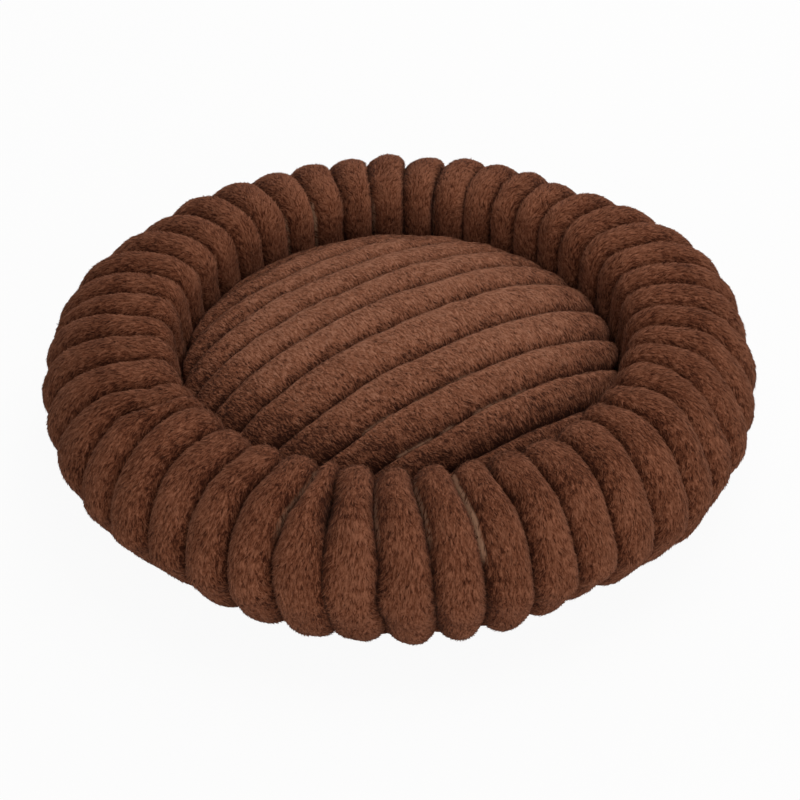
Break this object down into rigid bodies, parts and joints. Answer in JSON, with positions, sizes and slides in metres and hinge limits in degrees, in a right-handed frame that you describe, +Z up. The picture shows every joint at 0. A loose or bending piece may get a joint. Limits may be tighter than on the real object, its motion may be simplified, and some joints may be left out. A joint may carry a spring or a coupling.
{
  "type": "round pet bed",
  "caption": "Round plush pet bed: a stuffed ring with radial ribs on a fabric base, and a loose domed cushion with slanting channels and a hidden zip.",
  "frame": {"origin": "on the floor under the middle of the ring", "axes": "+Z up, front of the bed towards -Y, +X to the right"},
  "size_m": [0.5977, 0.5974, 0.137],
  "materials": {
    "ring_plush": "short dense faux rabbit fur in ribs",
    "cushion_plush": "short dense faux rabbit fur in channels",
    "lining_fabric": "matt woven polyester",
    "base_fabric": "matt woven polyester with grip dots",
    "fibre": "loose polyester fibre",
    "zip_tape": "woven tape",
    "zip_coil": "moulded monofilament",
    "zip_metal": "enamelled to match the cloth"
  },
  "bodies": {
    "ring": {"base_panel": "base_fabric", "floor_wadding": "fibre", "nest_lining": "lining_fabric", "ring_fill": "fibre", "ring_cover_right": "ring_plush", "ring_cover_left": "ring_plush"},
    "cushion": {"cushion_top": "cushion_plush", "cushion_underside": "lining_fabric", "cushion_fill": "fibre", "zip_tape_upper": "zip_tape", "zip_tape_lower": "zip_tape", "zip_coil_upper": "zip_coil", "zip_coil_lower": "zip_coil", "zip_top_stop_upper": "zip_metal", "zip_top_stop_lower": "zip_metal", "zip_bottom_stop": "zip_metal"},
    "slider": {"zip_slider": "zip_metal"},
    "pull": {"zip_pull": "zip_metal"}
  },
  "joints": [
    {"name": "cushion_lift", "type": "slide", "parent": "ring", "child": "cushion", "axis": [0, 0, 1], "range_m": [0, 0.15]},
    {"name": "zip_run", "type": "hinge", "parent": "cushion", "child": "slider", "pos_m": [0, 0, 0.04028], "axis": [0, 0, 1], "range_deg": [-102.4, 0]},
    {"name": "pull_swing", "type": "hinge", "parent": "slider", "child": "pull", "pos_m": [-0.12489, 0.1004, 0.03775], "axis": [-0.5644, 0.4537, 0.6897], "range_deg": [-90, 90]}
  ]
}
